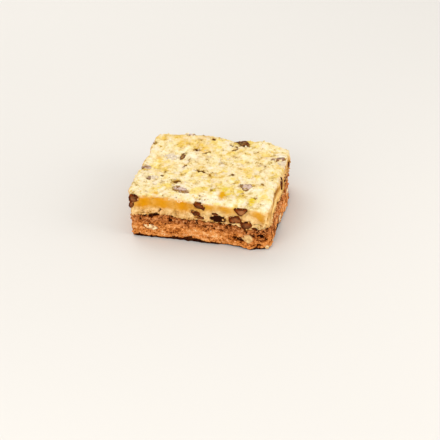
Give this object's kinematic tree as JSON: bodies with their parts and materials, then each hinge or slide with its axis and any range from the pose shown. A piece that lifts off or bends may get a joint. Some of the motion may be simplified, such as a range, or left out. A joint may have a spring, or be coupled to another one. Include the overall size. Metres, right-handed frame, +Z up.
{
  "type": "brookie bar",
  "caption": "Square-cut two-layer dessert bar: a brownie base under a pale cookie layer with chocolate chips and nut pieces at the cut faces.",
  "frame": {"origin": "on the ground, under the middle of the base's footprint", "axes": "+X along the front cut face to its right end, -Y out of the front cut face, +Z up"},
  "size_m": [0.0811, 0.0763, 0.027],
  "materials": {
    "brownie": null,
    "cookie": null
  },
  "bodies": {
    "root": {"brownie_base": "brownie", "cookie_top": "cookie"}
  },
  "joints": []
}
